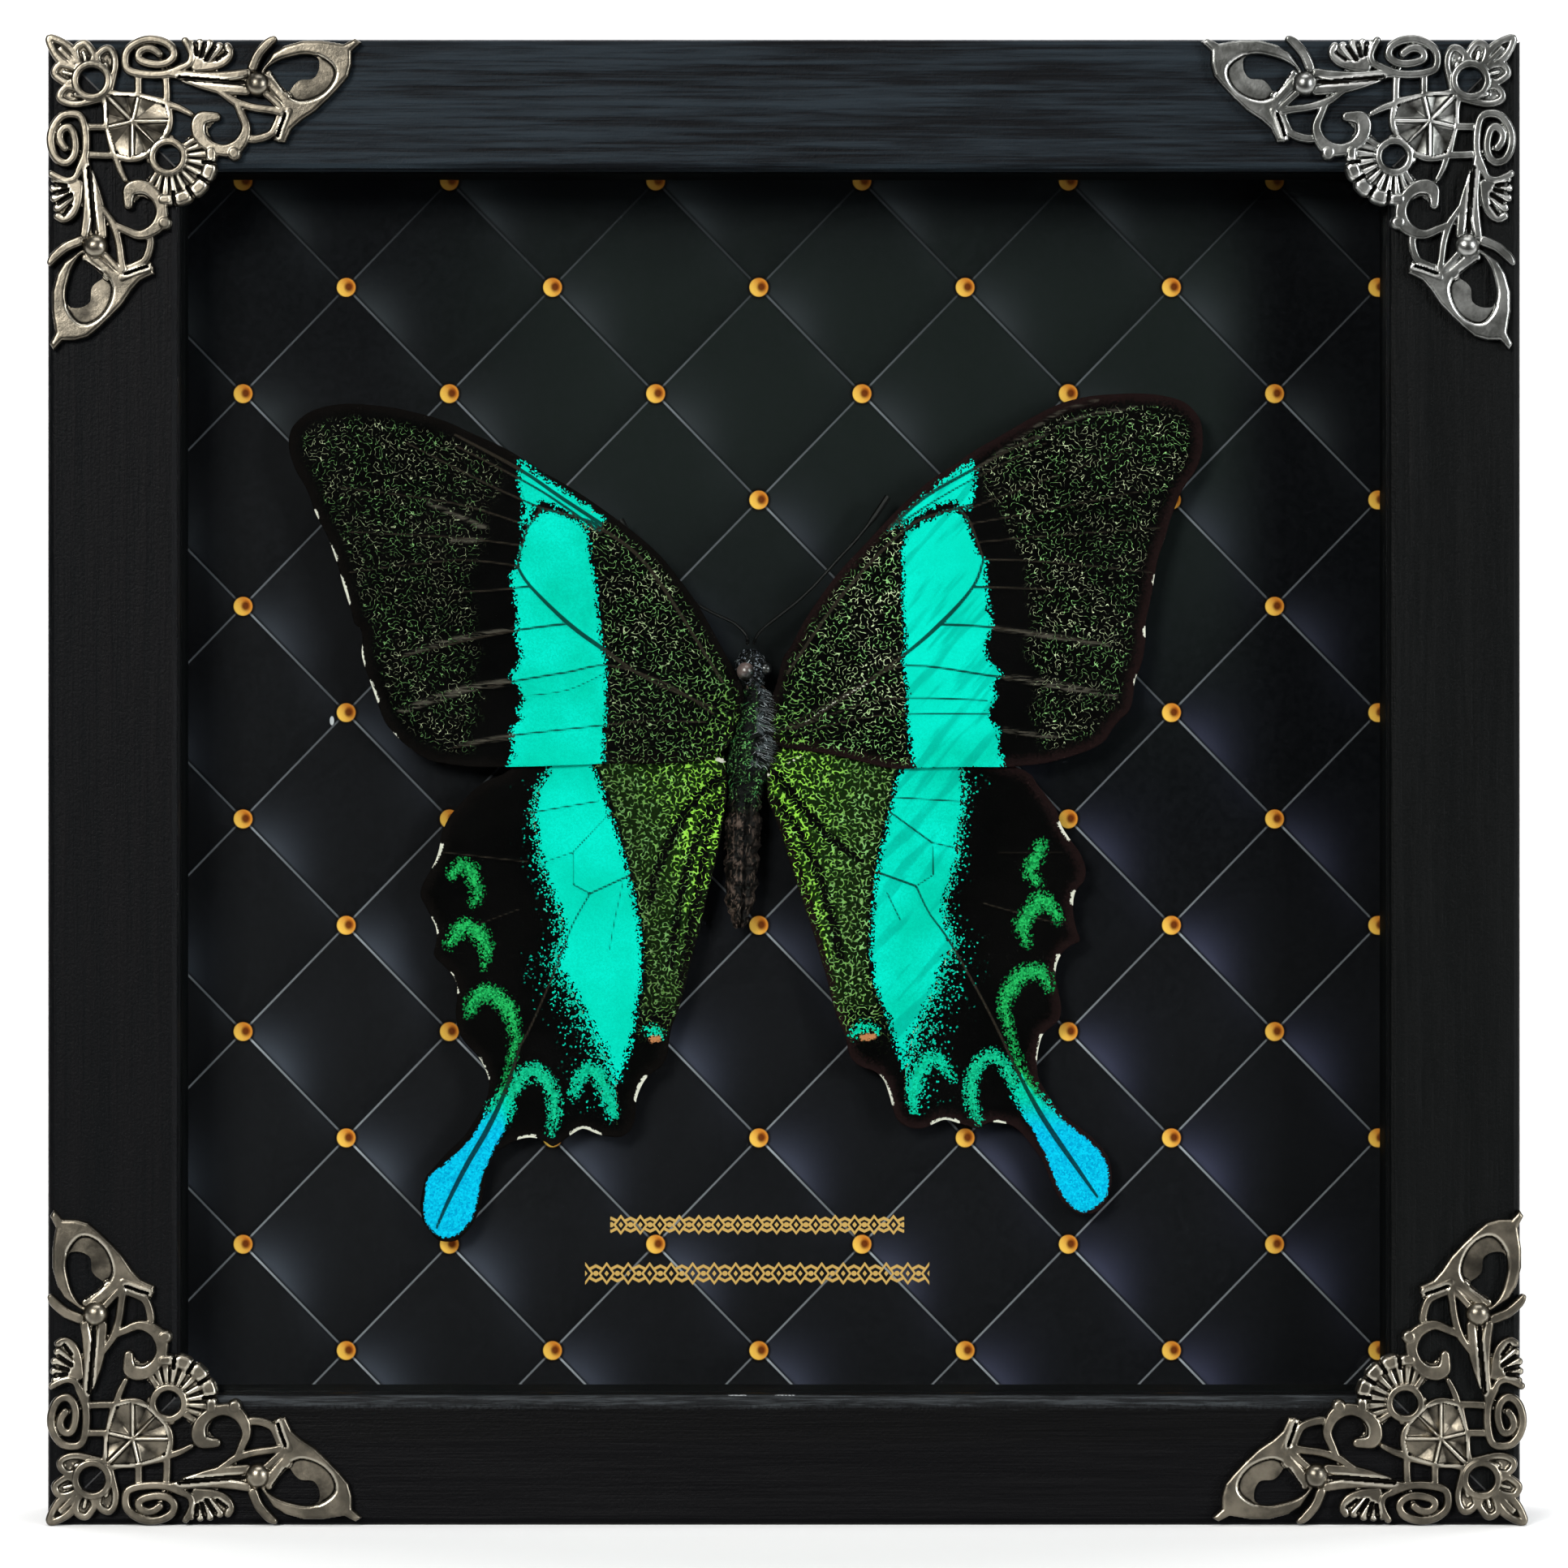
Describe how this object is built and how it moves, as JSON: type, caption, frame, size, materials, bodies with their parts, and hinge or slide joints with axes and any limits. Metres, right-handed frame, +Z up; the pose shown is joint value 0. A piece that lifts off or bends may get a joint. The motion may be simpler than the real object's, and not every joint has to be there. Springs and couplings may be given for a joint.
{
  "type": "framed butterfly specimen",
  "caption": "Spread swallowtail butterfly over a printed tufted backdrop, in a small black shadow-box frame with glass and cast filigree corners, to stand or hang",
  "frame": {"origin": "Middle of the footprint, on the surface that the frame stands on", "axes": "X across the frame, to the viewer's right; Y from the glass to the back; Z up. The glass faces -Y."},
  "size_m": [0.1806, 0.0304, 0.1819],
  "materials": {
    "frame_wood": "black satin paint over fine grain",
    "glass": "clear, polished",
    "liner": "black, matte",
    "printed_sheet": "printed card, dark tufted pattern, satin",
    "backing_board": "bare hardboard",
    "plated_steel": "zinc plated",
    "antiqued_metal": "cast, antiqued grey bronze with dark recesses",
    "wing_scales": "black wing scales with turquoise and green",
    "insect_cuticle": "dark brown, hairy"
  },
  "bodies": {
    "root": {"rail_top": "frame_wood", "rail_bottom": "frame_wood", "rail_left": "frame_wood", "rail_right": "frame_wood", "glass": "glass", "spacer_top": "liner", "spacer_bottom": "liner", "spacer_left": "liner", "spacer_right": "liner", "background_sheet": "printed_sheet", "backing_board": "backing_board", "tab_top_1": "plated_steel", "tab_top_2": "plated_steel", "tab_bottom_1": "plated_steel", "tab_bottom_2": "plated_steel", "tab_left_1": "plated_steel", "tab_left_2": "plated_steel", "tab_right_1": "plated_steel", "tab_right_2": "plated_steel", "hanger": "plated_steel", "corner_top_left": "antiqued_metal", "corner_top_right": "antiqued_metal", "corner_bottom_left": "antiqued_metal", "corner_bottom_right": "antiqued_metal", "forewing_left": "wing_scales", "forewing_right": "wing_scales", "hindwing_left": "wing_scales", "hindwing_right": "wing_scales", "body": "insect_cuticle", "antenna_left": "insect_cuticle", "antenna_right": "insect_cuticle"}
  },
  "joints": []
}
